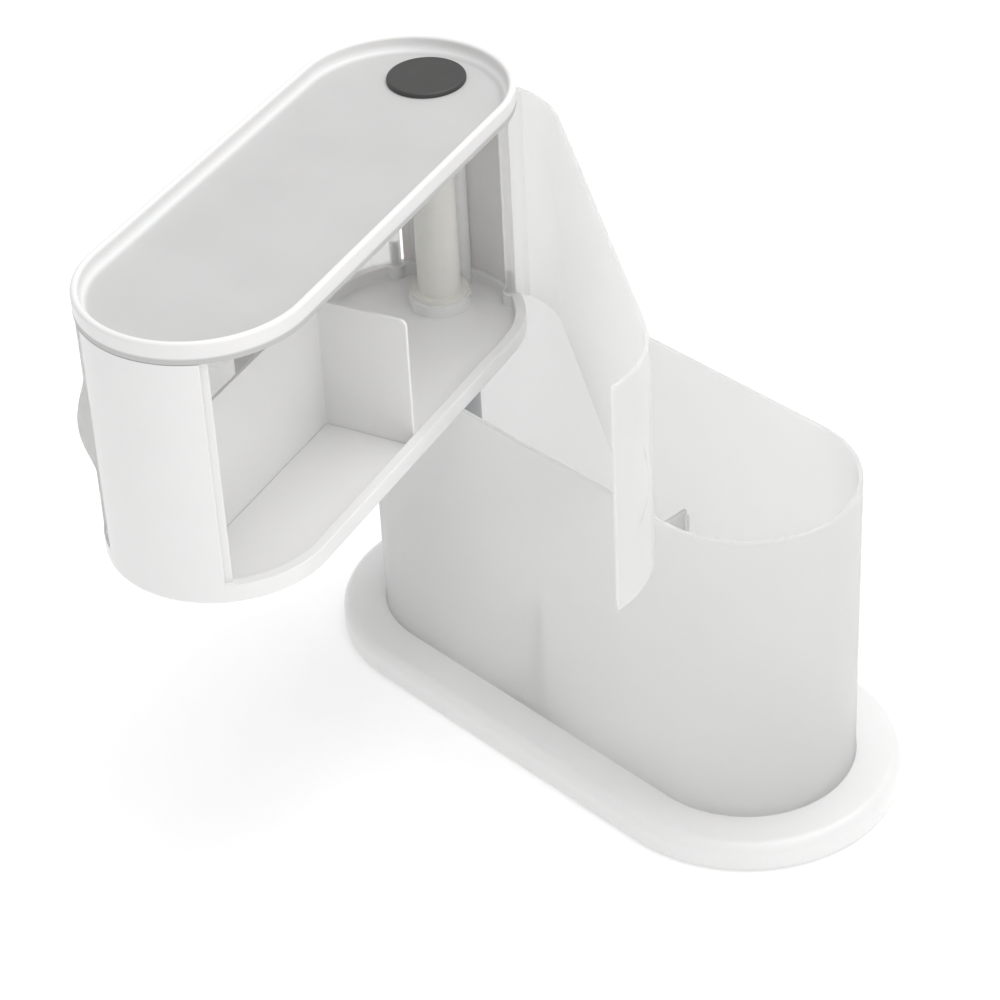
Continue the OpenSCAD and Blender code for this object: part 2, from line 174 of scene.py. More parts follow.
class OrganizerShape(bpy.types.PropertyGroup):
    """Sizes of the pieces that are modelled here."""
    base_skin: a_length("Base skin", "Thickness of the outer wall of the base", 2.5 * MM)
    base_edge: a_length("Base edge", "Radius of the rounded upper edge of the base", 5 * MM)
    rib: a_length("Base ribs", "Thickness of the ribs under the deck of the base", 1.8 * MM)
    bin_wall: a_length("Bin wall", "Thickness of the wall of the lower bin", 2 * MM)
    bin_floor: a_length("Bin floor", "Thickness of the floor of the lower bin", 2.5 * MM)
    bin_boss: a_length("Bin boss", "Height of the screw bosses on the floor of the bin", 8 * MM)
    tier_wall: a_length("Tier wall", "Thickness of the end walls of the tier", 2.25 * MM)
    sill: a_length("Sill", "Width of the sill under the doors", 4.5 * MM)
    tray_wall: a_length("Tray rim", "Width of the rim of the tray", 3 * MM)
    tray_fillet: a_length("Tray fillet", "Radius where the wall of the tray meets its floor", 4 * MM)
    tray_boss: a_length("Tray boss", "Radius of the boss under the tray that takes the hub tube", 15 * MM)
    door_wall: a_length("Door wall", "Thickness of the door shells", 1.8 * MM)
    door_inset: a_length("Door inset", "How far a closed door lies inside the outline of the tier", 0.5 * MM)
    door_edge: a_length("Door edge", "Rounding of the edges of the doors", 0.5 * MM)
    stile: a_length("Stile", "Extra thickness of the doors beside their hinges", 1.4 * MM)
    stile_arc: an_angle("Stile width", "Angle that the thick strip beside a hinge covers", 10)
    barrel: a_length("Hinge barrel", "Radius of the hinge barrels", 2.6 * MM)
    pin_seat: a_length("Pin seat", "Depth of the holes for the hinge pins", 10 * MM)
    right_edge: an_angle("Right door edge", "Angle of the right door's free edge round the front end", 33.5)
    left_edge: an_angle("Left door edge", "Angle of the left door's free edge round the front end", 39)
    pull_rise: a_length("Finger pull", "How far the finger pulls stand out from the doors", 4.4 * MM)
    pull_half_height: a_length("Pull half height", "Half the height of the finger pulls", 20 * MM)
    pull_half_width: a_length("Pull half width", "Half the width of the finger pulls", 10.6 * MM)


class OrganizerFinish(bpy.types.PropertyGroup):
    """Colours of the finishes."""
    white: a_colour("White plastic", "Colour of the base, the tier and the tray", 0.84, 0.84, 0.835)
    # The doors and the bin are one frosted plastic: the doors' colour is painted lighter and the bin's greyer,
    # as painted light and painted shade
    door_frost_lit: a_colour("Frosted doors", "Colour of the doors", 0.98, 0.98, 0.975)
    bin_frost_shaded: a_colour("Frosted bin", "Colour of the bin and its divider", 0.96, 0.96, 0.957)
    column: a_colour("Grey plastic", "Colour of the swivel column", 0.42, 0.43, 0.44)
    cap: a_colour("Dark plastic", "Colour of the cap over the swivel axis", 0.045, 0.045, 0.044)
    bearing: a_colour("Bearing plastic", "Colour of the hub tube and the bearing washer", 0.80, 0.79, 0.75)
    steel: a_colour("Steel", "Colour of the axle, pins and screws", 0.56, 0.57, 0.58)
    rubber: a_colour("Rubber", "Colour of the feet", 0.025, 0.025, 0.026)


class OrganizerStage(bpy.types.PropertyGroup):
    """Camera and studio."""
    azimuth: an_angle("Camera azimuth", "Direction of the camera in plan, from +X", -41.83)
    elevation: an_angle("Camera elevation", "Height of the camera above the horizon", 35.80)
    roll: an_angle("Camera roll", "Turn of the camera about its line of sight", -3.06)
    distance: a_length("Camera distance", "Distance from the camera to the point it looks at", 1.4055)
    aim_right: a_length("Aim right", "How far to the right of the origin the camera looks", 0.01814)
    aim_up: a_length("Aim up", "How far above the origin the camera looks", 0.04093)
    lens: a_number("Lens", "Focal length for a 36 mm sensor", 113.64)
    overhead: a_number("Top light", "Power of the softbox overhead", 18.5)
    side: a_number("Side light", "Power of the softbox on the right", 2.9)
    sky: a_number("Sky", "Strength of the even light from all round", 0.6)
    floor_glow: a_number("Floor glow", "Strength of the light that the pale floor gives off", 0.22)


# ---------- shader maths ----------

def overload(operation, swapped=False):
    """A method that adds a Math node; swapped makes the reflected form of an operator."""
    def method(self, other=0.0):
        first, second = (other, self) if swapped else (self, other)
        return self.maker.node("ShaderNodeMath", {"operation": operation}, {0: first, 1: second})
    return method


class Wire:
    """An output of a node that sums can be written with."""

    def __init__(self, maker, socket):
        self.maker = maker
        self.socket = socket

    __add__ = overload("ADD")
    __radd__ = overload("ADD", swapped=True)
    __sub__ = overload("SUBTRACT")
    __rsub__ = overload("SUBTRACT", swapped=True)
    __mul__ = overload("MULTIPLY")
    __rmul__ = overload("MULTIPLY", swapped=True)
    __truediv__ = overload("DIVIDE")
    __mod__ = overload("MODULO")
    floored = overload("FLOOR")
    cosine = overload("COSINE")
    sine = overload("SINE")

    def clamped(self):
        """The same value, kept between 0 and 1."""
        return self.maker.node("ShaderNodeClamp", {}, {"Value": self})


class Graph:
    """A node tree that is being put together."""

    def __init__(self, tree):
        self.tree = tree

    def node(self, kind, settings, values, output=0):
        """Adds a node: its settings first, then the values or links of its sockets."""
        made = self.tree.nodes.new(kind)
        for name, value in settings.items():
            setattr(made, name, value)
        for socket, value in values.items():
            self.join(made.inputs[socket], value)
        return Wire(self, made.outputs[output])

    def join(self, socket, value):
        """Links a socket, or gives it a value; a list is linked wire by wire."""
        if isinstance(value, list):
            for wire in value:
                self.join(socket, wire)
        elif isinstance(value, Wire):
            self.tree.links.new(value.socket, socket)
        else:
            socket.default_value = value


class Finish(Graph):
    """A material that is being put together."""

    def __init__(self, name, colour, **constants):
        self.material = bpy.data.materials.new(name)
        self.material.use_nodes = True
        super().__init__(self.material.node_tree)
        self.colour = colour
        self.shader = self.tree.nodes["Principled BSDF"]
        self.shader.inputs["Base Color"].default_value = (*colour, 1)
        for socket, value in constants.items():
            self.shader.inputs[socket.replace("_", " ")].default_value = value
        coordinates = self.tree.nodes.new("ShaderNodeTexCoord")
        self.place = Wire(self, coordinates.outputs["Object"])

    def noise(self, scale, detail=2.0, stretch=None):
        """Even grey noise; scale is in cells per metre."""
        place = self.place
        if stretch:
            place = self.node("ShaderNodeMapping", {}, {"Vector": place, "Scale": stretch})
        return self.node("ShaderNodeTexNoise", {}, {"Vector": place, "Scale": scale, "Detail": detail})

    def vary(self, socket, value):
        self.join(self.shader.inputs[socket], value)

    def tint(self, start, stop, amount):
        """Base colour between two shades of the finish's own colour, each given as a factor on it."""
        first, second = [(*(min(1.0, c * factor) for c in self.colour), 1) for factor in (start, stop)]
        mixed = self.node("ShaderNodeMix", {"data_type": "RGBA"}, {0: amount, 6: first, 7: second}, output=2)
        self.vary("Base Color", mixed)

    def glow_through(self, share):
        """Mixes in light that comes through from the other side."""
        through = self.node("ShaderNodeBsdfTranslucent", {}, {"Color": (*self.colour, 1)})
        mixed = self.node("ShaderNodeMixShader", {},
                          {0: share, 1: Wire(self, self.shader.outputs[0]), 2: through})
        self.join(self.tree.nodes["Material Output"].inputs["Surface"], mixed)

    def bump(self, height, strength, depth):
        bumped = self.node("ShaderNodeBump", {}, {"Height": height, "Strength": strength, "Distance": depth})
        self.vary("Normal", bumped)


def satin_white(colour):
    """Satin gloss moulded plastic with a faint orange peel."""
    finish = Finish("satin_white", colour, Coat_Weight=0.12, Coat_Roughness=0.18,
                    Subsurface_Weight=0.06, Subsurface_Scale=0.003)
    broad = finish.noise(28.0, 3.0)
    finish.tint(0.975, 1.02, broad)
    finish.vary("Roughness", 0.26 + broad * 0.10)
    finish.bump(finish.noise(1500.0), 0.25, 0.02 * MM)
    return finish.material


def tray_white(colour):
    """White plastic whose recessed floor has a fine matt texture, for things to lie on, and painted shade that
    makes it darker.
    """
    finish = Finish("tray_white", colour, Coat_Weight=0.08, Coat_Roughness=0.2,
                    Subsurface_Weight=0.06, Subsurface_Scale=0.003)
    broad = finish.noise(28.0, 3.0)
    height = finish.node("ShaderNodeSeparateXYZ", {}, {"Vector": finish.place}, output=2)
    # Mask of the recessed floor: it makes the floor rougher and grainier, and paints it darker, down to 0.6 of
    # the white, as painted shade
    floor = ((TRAY_FLOOR + 1.2 * MM - height) / (1.0 * MM)).clamped()
    finish.tint(1.0, 0.6, floor * (0.8 + broad * 0.2))
    finish.vary("Roughness", 0.28 + broad * 0.06 + floor * 0.24)
    finish.bump(finish.noise(2600.0, 3.0) * (0.2 + floor * 0.8), 0.3, 0.04 * MM)
    return finish.material


def milky(name, colour, share):
    """Milky plastic with a blasted surface, which lets a share of the light through but no shapes."""
    finish = Finish(name, colour, IOR=1.4, Transmission_Weight=0.7)
    broad = finish.noise(22.0, 3.0)
    finish.tint(0.97, 1.02, broad)
    finish.vary("Roughness", 0.42 + broad * 0.08)
    finish.bump(finish.noise(3200.0, 3.0), 0.25, 0.03 * MM)
    finish.glow_through(share + broad * 0.06)
    return finish.material


def milky_door(colour):
    """The frosted plastic of the doors: a lighter copy of the bin's plastic that lets more light through, as
    painted light on the doors.
    """
    return milky("milky_door", colour, 0.42)


def milky_bin(colour):
    """The frosted plastic of the bin: a greyer copy of the doors' plastic that lets less light through, as
    painted shade on the bin.
    """
    return milky("milky_bin", colour, 0.29)


def column_grey(colour):
    """Plain satin grey moulding."""
    finish = Finish("column_grey", colour)
    broad = finish.noise(40.0, 3.0)
    finish.tint(0.94, 1.05, broad)
    finish.vary("Roughness", 0.38 + broad * 0.1)
    finish.bump(finish.noise(1800.0), 0.25, 0.03 * MM)
    return finish.material


def cap_charcoal(colour):
    """Dark grey plastic with a fine spark-eroded grain."""
    finish = Finish("cap_charcoal", colour)
    grain = finish.noise(3000.0, 3.0)
    finish.tint(0.85, 1.2, finish.noise(90.0, 3.0) * 0.7 + grain * 0.3)
    finish.vary("Roughness", 0.42 + grain * 0.16)
    finish.bump(grain, 0.5, 0.05 * MM)
    return finish.material


def bearing_ivory(colour):
    """Smooth low-friction plastic with faint turning marks."""
    finish = Finish("bearing_ivory", colour, Subsurface_Weight=0.1, Subsurface_Scale=0.003)
    marks = finish.noise(60.0, stretch=(1.0, 1.0, 40.0))
    finish.tint(0.96, 1.03, marks)
    finish.vary("Roughness", 0.3 + marks * 0.12)
    finish.bump(marks, 0.2, 0.03 * MM)
    return finish.material


def zinc_steel(colour):
    """Zinc-plated steel with fine drawing lines."""
    finish = Finish("zinc_steel", colour, Metallic=1.0)
    lines = finish.noise(500.0, 3.0, stretch=(1.0, 1.0, 0.05))
    clouds = finish.noise(150.0, 4.0)
    finish.tint(0.85, 1.12, lines * 0.5 + clouds * 0.5)
    finish.vary("Roughness", 0.24 + clouds * 0.18)
    finish.bump(lines, 0.2, 0.02 * MM)
    return finish.material


def foot_rubber(colour):
    """Matt black rubber with a fine pebble."""
    finish = Finish("foot_rubber", colour)
    pebble = finish.noise(1400.0, 3.0)
    finish.tint(0.8, 1.5, pebble)
    finish.vary("Roughness", 0.72 + pebble * 0.16)
    finish.bump(pebble, 0.6, 0.08 * MM)
    return finish.material


# Each material's maker, its colour setting, and the slot of the pieces that are modelled in it
FINISHES = {
    "satin_white": (satin_white, "white", "white_plastic"),
    "tray_white": (tray_white, "white", "white_plastic"),
    "milky_door": (milky_door, "door_frost_lit", "frosted_plastic"),
    "milky_bin": (milky_bin, "bin_frost_shaded", "frosted_plastic"),
    "column_grey": (column_grey, "column", "grey_plastic"),
    "cap_charcoal": (cap_charcoal, "cap", "dark_plastic"),
    "bearing_ivory": (bearing_ivory, "bearing", None),
    "zinc_steel": (zinc_steel, "steel", "steel"),
    "foot_rubber": (foot_rubber, "rubber", "rubber"),
}


def finish_named(name):
    """The material of that name, made the first time it is asked for."""
    maker, colour, _ = FINISHES[name]
    return bpy.data.materials.get(name) or maker(tuple(getattr(bpy.context.scene.organizer_finish, colour)))


# ---------- shared mesh work ----------

def linked(name, data):
    """A new object in the scene."""
    made = bpy.data.objects.new(name, data)
    bpy.context.scene.collection.objects.link(made)
    return made


def new_piece(name, mesh, finish, body, node):
    """Puts a finished mesh in the scene, on its body and in place of the node it stands for."""
    piece = linked(name, mesh)
    mesh.materials.clear()
    mesh.materials.append(finish_named(finish))
    for face in mesh.polygons:
        face.material_index = 0
    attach(piece, body)
    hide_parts(node)


def settled(name, mesh, *modifiers):
    """The mesh with modifiers worked in. Each modifier is its type and its settings."""
    holder = linked(name + "_work", mesh)
    for kind, settings in modifiers:
        modifier = holder.modifiers.new(kind.lower(), kind)
        for key, value in settings.items():
            setattr(modifier, key, value)
    return taken(name, holder)


def taken(name, holder):
    """Turns an object with live modifiers into a plain mesh, and removes the object."""
    bpy.context.view_layer.update()
    graph = bpy.context.evaluated_depsgraph_get()
    mesh = bpy.data.meshes.new_from_object(holder.evaluated_get(graph))
    mesh.name = name
    old = holder.data
    bpy.data.objects.remove(holder)
    if old.users == 0:
        bpy.data.meshes.remove(old)
    return mesh


def merged(node):
    """A node's mesh for editing, with its equal points merged."""
    work = bmesh.new()
    work.from_mesh(frame["nodes"][node].data)
    bmesh.ops.remove_doubles(work, verts=work.verts, dist=MERGE)
    return work


def closed_copy(node):
    """A merged copy of a node's mesh with its flat faces in one piece each."""
    work = merged(node)
    bmesh.ops.dissolve_limit(work, angle_limit=math.radians(0.4), verts=work.verts, edges=work.edges)
    points = [v.co.copy() for v in work.verts]
    faces = [[v.index for v in face.verts] for face in work.faces]
    work.free()
    mesh = bpy.data.meshes.new(node + "_copy")
    mesh.from_pydata(points, [], faces)
    mesh.shade_smooth()
    return mesh


def softened(node, width):
    """The node's own form with every moulded edge rounded."""
    return settled(node + "_soft", closed_copy(node), ("BEVEL", {
        "width": width, "segments": 2, "limit_method": "ANGLE", "angle_limit": math.radians(38),
        "harden_normals": True, "use_clamp_overlap": True, "miter_outer": "MITER_ARC"}))


def islands(node):
    """Lowest and highest corner of each separate solid of a node."""
    work = merged(node)
    left = set(work.verts)
    boxes = []
    while left:
        group = {left.pop()}
        waiting = list(group)
        while waiting:
            vertex = waiting.pop()
            near = {edge.other_vert(vertex) for edge in vertex.link_edges} & left
            left -= near
            group |= near
            waiting += near
        spots = [v.co for v in group]
        boxes.append((Vector(min(p[i] for p in spots) for i in range(3)),
                      Vector(max(p[i] for p in spots) for i in range(3))))
    work.free()
    return sorted(boxes, key=lambda pair: tuple(round(c, 5) for c in pair[0]))


# ---------- geometry rules ----------

class Rule(Graph):
    """A geometry node tree with named inputs."""

    def __init__(self, name, inputs):
        super().__init__(bpy.data.node_groups.new(name, "GeometryNodeTree"))
        sockets = self.tree.interface
        sockets.new_socket("Geometry", in_out="INPUT", socket_type="NodeSocketGeometry")
        for title, kind in inputs.items():
            sockets.new_socket(title, in_out="INPUT", socket_type="NodeSocket" + kind)
        sockets.new_socket("Material", in_out="INPUT", socket_type="NodeSocketMaterial")
        sockets.new_socket("Geometry", in_out="OUTPUT", socket_type="NodeSocketGeometry")
        entry = self.tree.nodes.new("NodeGroupInput")
        self.given = {socket.name: Wire(self, socket) for socket in entry.outputs}

    def end(self, geometry):
        """Ends the tree with real geometry that has its material on it."""
        real = self.node("GeometryNodeRealizeInstances", {}, {"Geometry": geometry})
        dressed = self.node("GeometryNodeSetMaterial", {},
                            {"Geometry": real, "Material": self.given["Material"]})
        way_out = self.tree.nodes.new("NodeGroupOutput")
        self.join(way_out.inputs["Geometry"], dressed)
        return self.tree

    def parts(self, vector):
        """The X, Y and Z of a vector."""
        made = self.tree.nodes.new("ShaderNodeSeparateXYZ")
        self.join(made.inputs[0], vector)
        return [Wire(self, socket) for socket in made.outputs]

    def vector(self, x, y, z):
        return self.node("ShaderNodeCombineXYZ", {}, {0: x, 1: y, 2: z})

    def swept(self, section, steps, rear, front, turn):
        """Sweeps a section round an outline with two round ends, then turns it about Z.

        The X of the section is the distance from the centre line, and its Z is the height.
        """
        rows = self.node("GeometryNodeAttributeDomainSize", {"component": "MESH"}, {"Geometry": section})
        half = steps + 1
        grid = self.node("GeometryNodeMeshGrid", {}, {"Vertices X": half * 2 + 1, "Vertices Y": rows})
        index = self.node("GeometryNodeInputIndex", {}, {})
        column = (index / rows).floored()
        end = (column / half).floored() % 2
        angle = ((column % half) / steps + end - 0.5) * math.pi + turn
        place = self.node("GeometryNodeInputPosition", {}, {})
        sampled = self.node("GeometryNodeSampleIndex", {"data_type": "FLOAT_VECTOR", "domain": "POINT"},
                            {"Geometry": section, "Value": place, "Index": index % rows})
        reach, _, height = self.parts(sampled)
        centre = front + end * (rear - front)
        spot = self.vector(centre * turn.cosine() + reach * angle.cosine(),
                           centre * turn.sine() + reach * angle.sine(), height)
        placed = self.node("GeometryNodeSetPosition", {}, {"Geometry": grid, "Position": spot})
        return self.node("GeometryNodeMergeByDistance", {}, {"Geometry": placed, "Distance": 0.001 * MM})

    def turned(self, section, steps):
        """Sweeps a section round the Z axis."""
        nothing = self.node("ShaderNodeValue", {}, {})
        return self.swept(section, steps, nothing, nothing, nothing)

    def raised(self, piece, height):
        """The piece moved along Z."""
        return self.node("GeometryNodeTransform", {}, {
            "Geometry": piece, "Translation": self.vector(0.0, 0.0, height)})

    def at_spots(self, piece, seed):
        """The piece on every point of the object Spots, each turned by its own angle."""
        spots = self.node("GeometryNodeObjectInfo", {}, {"Object": self.given["Spots"]},
                          output="Geometry")
        twist = self.node("FunctionNodeRandomValue", {"data_type": "FLOAT"},
                          {"Max": 2 * math.pi, "Seed": seed}, output=1)
        return self.node("GeometryNodeInstanceOnPoints", {},
                         {"Points": spots, "Instance": piece, "Rotation": self.vector(0.0, 0.0, twist)})


def outline_rule():
    """A section swept round the outline with two round ends."""
    rule = Rule("sweep_round_outline", {"Rear centre": "Float", "Front centre": "Float",
                                        "Turn": "Float", "Steps": "Int"})
    given = rule.given
    return rule.end(rule.swept(given["Geometry"], given["Steps"], given["Rear centre"],
                               given["Front centre"], given["Turn"]))


def foot_rule():
    """A turned section set on every spot."""
    rule = Rule("turned_at_spots", {"Spots": "Object", "Steps": "Int"})
    foot = rule.turned(rule.given["Geometry"], rule.given["Steps"])
    return rule.end(rule.at_spots(foot, seed=3))


def screw_rule():
    """A turned screw with a thread and a cross recess, set on every spot."""
    rule = Rule("screws_at_spots", {"Spots": "Object", "Steps": "Int", "Shank radius": "Float",
                                    "Thread length": "Float", "Pitch": "Float",
                                    "Head radius": "Float", "Head height": "Float"})
    given = rule.given
    shank, length, head, height = (given[title] for title in (
        "Shank radius", "Thread length", "Head radius", "Head height"))
    blank = rule.turned(given["Geometry"], given["Steps"])
    reach, slot, core = head * 1.1, head * 0.26, shank * 0.8
    bars = [rule.node("GeometryNodeMeshCube", {}, {"Size": rule.vector(*size)})
            for size in ((reach, slot, height), (slot, reach, height))]
    cut = rule.node("GeometryNodeMeshBoolean", {"operation": "DIFFERENCE", "solver": "EXACT"},
                    {"Mesh 1": blank, "Mesh 2": [rule.raised(bar, height * -1.0) for bar in bars]})
    helix = rule.node("GeometryNodeCurveSpiral", {}, {
        "Resolution": 20, "Rotations": length / given["Pitch"], "Start Radius": core,
        "End Radius": core, "Height": length})
    crest = rule.node("GeometryNodeCurvePrimitiveCircle", {"mode": "RADIUS"},
                      {"Resolution": 6, "Radius": shank * 0.19})
    thread = rule.node("GeometryNodeCurveToMesh", {}, {
        "Curve": helix, "Profile Curve": crest, "Fill Caps": True})
    screw = rule.node("GeometryNodeJoinGeometry", {}, {"Geometry": [cut, rule.raised(thread, shank * 0.3)]})
    return rule.end(rule.at_spots(screw, seed=8))


RULES = {"sweep_round_outline": outline_rule, "turned_at_spots": foot_rule, "screws_at_spots": screw_rule}


def point_mesh(name, points):
    """A mesh of loose points, as the source of a rule."""
    mesh = bpy.data.meshes.new(name)
    mesh.from_pydata([tuple(point) for point in points], [], [])
    return mesh


def grown(name, points, rule, values):
    """The plain mesh that a rule makes from its source points."""
    holder = linked(name + "_work", point_mesh(name + "_source", points))
    tree = bpy.data.node_groups.get(rule) or RULES[rule]()
    modifier = holder.modifiers.new("rule", "NODES")
    modifier.node_group = tree
    for item in tree.interface.items_tree:
        if item.name in values:
            modifier[item.identifier] = values[item.name]
    return taken(name, holder)


def rounded(*corners):
    """Points of a section. Each corner is its distance, its height and its radius, and becomes an arc."""
    path = []
    for number, (x, z, radius) in enumerate(corners):
        here = Vector((x, z))
        if not radius:
            path.append(here)
            continue
        back = (Vector(corners[number - 1][:2]) - here).normalized()
        onward = (Vector(corners[number + 1][:2]) - here).normalized()
        half_angle = back.angle(onward) / 2
        middle = here + (back + onward).normalized() * radius / math.sin(half_angle)
        start = here + back * radius / math.tan(half_angle) - middle
        turn = math.pi - 2 * half_angle
        if back.x * onward.y > back.y * onward.x:
            turn = -turn
        steps = 8
        path += [middle + Matrix.Rotation(turn * step / steps, 2) @ start for step in range(steps + 1)]
    return [(point.x, 0.0, point.y) for point in path]


def shaded(mesh):
    """The mesh with smooth faces, crisp folds and flat faces that shade flat."""
    work = bmesh.new()
    work.from_mesh(mesh)
    bmesh.ops.remove_doubles(work, verts=work.verts, dist=MERGE)
    bmesh.ops.dissolve_degenerate(work, dist=MERGE, edges=work.edges)
    loose = [edge for edge in work.edges if not edge.link_faces]
    bmesh.ops.delete(work, geom=loose, context="EDGES")
    work.to_mesh(mesh)
    work.free()
    mesh.shade_smooth()
    mesh.set_sharp_from_angle(angle=math.radians(35))
    return settled(mesh.name, mesh, ("WEIGHTED_NORMAL", {"keep_sharp": True, "weight": 100}))


def middles(node):
    """Plan position of the middle of each solid of a node."""
    return [((low + high) / 2).to_2d() for low, high in islands(node)]


def solids(name, blocks=(), rods=(), prisms=()):
    """Blocks by two corners, upright rods by spot, radius and heights, and prisms by plan and heights."""
    work = bmesh.new()
    for plan, low, high in prisms:
        lower, upper = [[work.verts.new((x, y, z)) for x, y in plan] for z in (low, high)]
        work.faces.new(reversed(lower))
        work.faces.new(upper)
        for n in range(len(plan)):
            work.faces.new((lower[n - 1], lower[n], upper[n], upper[n - 1]))
    for low, high in blocks:
        size = Vector(high) - Vector(low)
        middle = Matrix.Translation(Vector(low) + size / 2)
        bmesh.ops.create_cube(work, size=1.0, matrix=middle @ Matrix.Diagonal(size).to_4x4())
    for spot, radius, low, high in rods:
        bmesh.ops.create_cone(work, cap_ends=True, segments=48, radius1=radius, radius2=radius,
                              depth=high - low, matrix=Matrix.Translation((*spot, (low + high) / 2)))
    mesh = bpy.data.meshes.new(name)
    work.to_mesh(mesh)
    work.free()
    return mesh


def carved(mesh, added, removed, crossing=False):
    """The mesh with some solids fused onto it and others cut out of it; crossing says that those overlap."""
    steps = []
    for operation, tool in (("UNION", added), ("DIFFERENCE", removed)):
        steps.append(("BOOLEAN", {"operation": operation, "solver": "EXACT", "use_self": crossing,
                                  "object": linked(mesh.name + "_tool", tool)}))
    result = settled(mesh.name, mesh, *steps)
    for _, settings in steps:
        tool = settings["object"].data
        bpy.data.objects.remove(settings["object"])
        bpy.data.meshes.remove(tool)
    return result


def in_tier(plan):
    """Plan points of the tier, turned to where the tier stands."""
    turn = Matrix.Rotation(TIER_TURN, 2)
    return [tuple(turn @ Vector(point)) for point in plan]


def bent_wall(centre, outer, inner, start, stop, edge):
    """Plan of a curved wall of the tier round one of its ends, with rounded edges."""
    bend = [QUARTER * n / 4 for n in range(5)]
    profile = [(outer - edge * (1 - math.cos(t)), edge * (1 - math.sin(t))) for t in bend]
    profile += [(inner + edge * (1 - math.cos(t)), edge * (1 - math.sin(t))) for t in reversed(bend)]
    count = math.ceil((stop - start) / math.radians(2.5))
    between = [start + (stop - start) * n / count for n in range(1, count)]
    ring = [(outer, angle) for angle in between]
    ring += [(radius, stop - back / radius) for radius, back in profile]
    ring += [(inner, angle) for angle in reversed(between)]
    ring += [(radius, start + back / radius) for radius, back in reversed(profile)]
    return in_tier([(centre + radius * math.cos(angle), radius * math.sin(angle)) for radius, angle in ring])


def eased(length, edge, step):
    """Distances along a line, close together in the rounding at both ends and evenly spaced between."""
    bend = [edge * (1 - math.cos(QUARTER * n / 4)) for n in range(5)]
    count = math.ceil((length - 2 * edge) / step)
    even = [edge + (length - 2 * edge) * n / count for n in range(1, count)]
    return bend + even + [length - distance for distance in reversed(bend)]


def sheet_mesh(name, points, columns, rows):
    """A closed sheet from two grids of points, its outside first and then its inside."""
    faces = []
    inside = columns * rows
    for c in range(columns - 1):
        for r in range(rows - 1):
            a, b = c * rows + r, (c + 1) * rows + r
            faces += [(a, a + 1, b + 1, b), (inside + a, inside + b, inside + b + 1, inside + a + 1)]
    rim = [c * rows for c in range(columns)] + [(columns - 1) * rows + r for r in range(1, rows)] \
        + [c * rows + rows - 1 for c in range(columns - 2, -1, -1)] + list(range(rows - 2, 0, -1))
    for n, first in enumerate(rim):
        second = rim[(n + 1) % len(rim)]
        faces.append((first, second, inside + second, inside + first))
    mesh = bpy.data.meshes.new(name)
    mesh.from_pydata(points, [], faces)
    return mesh


# ---------- operators ----------

class PieceOperator:
    """What the operators share."""
    bl_options = {"REGISTER", "UNDO"}

    def dress(self, node, finish):
        """Gives a node that keeps its own form its finish."""
        mesh = frame["nodes"][node].data
        mesh.materials.clear()
        mesh.materials.append(finish_named(finish))

    def soften(self, node, finish, body, width):
        """Puts a rounded copy of a node in its place."""
        new_piece(node + "_moulding", softened(node, width), finish, body, node)

    def sweep(self, name, section, finish, turn=0.0, rear=REAR_X, front=FRONT_X):
        """The mesh of a section that is swept round an outline."""
        return grown(name, section, "sweep_round_outline", {
            "Rear centre": rear, "Front centre": front, "Turn": turn, "Steps": 64,
            "Material": finish_named(finish)})

    def mould(self, node, finish, body, section, added, removed, turn=0.0, crossing=True):
        """A swept section with solids fused onto it and others cut out, in place of a node."""
        mesh = carved(self.sweep(node + "_shell", section, finish, turn),
                      solids(node + "_added", **added), solids(node + "_holes", **removed), crossing)
        new_piece(node + "_moulding", shaded(mesh), finish, body, node)

    def set_on_spots(self, name, rule, section, spots, finish, values):
        """The mesh of a turned section that a rule sets on every spot."""
        holder = linked(name + "_spots", point_mesh(name + "_spots", spots))
        mesh = grown(name, section, rule, {"Spots": holder, "Material": finish_named(finish), **values})
        bpy.data.objects.remove(holder)
        return shaded(mesh)

    def screws(self, node, body, seat):
        """Screws that point up, one for each solid of the node; seat is where their heads end."""
        low, high = islands(node)[0]
        head, head_height = (high.x - low.x) / 2, seat - low.z
        shank, length = SHANKS[node], high.z - seat
        core, tip = shank * 0.8, shank * 0.2
        section = rounded((0, -head_height, 0), (head, -head_height, head_height * 0.55),
                          (head, 0, 0.1 * MM), (core, 0, 0), (core, length - 2 * shank, 0), (tip, length, 0),
                          (0, length, 0))
        spots = [(*middle, seat) for middle in middles(node)]
        mesh = self.set_on_spots(node + "_turned", "screws_at_spots", section, spots, "zinc_steel", {
            "Steps": 16, "Shank radius": shank, "Thread length": length - 2.4 * shank,
            "Pitch": 0.7 * shank, "Head radius": head, "Head height": head_height * 0.9})
        new_piece(node + "_threaded", mesh, "zinc_steel", body, node)


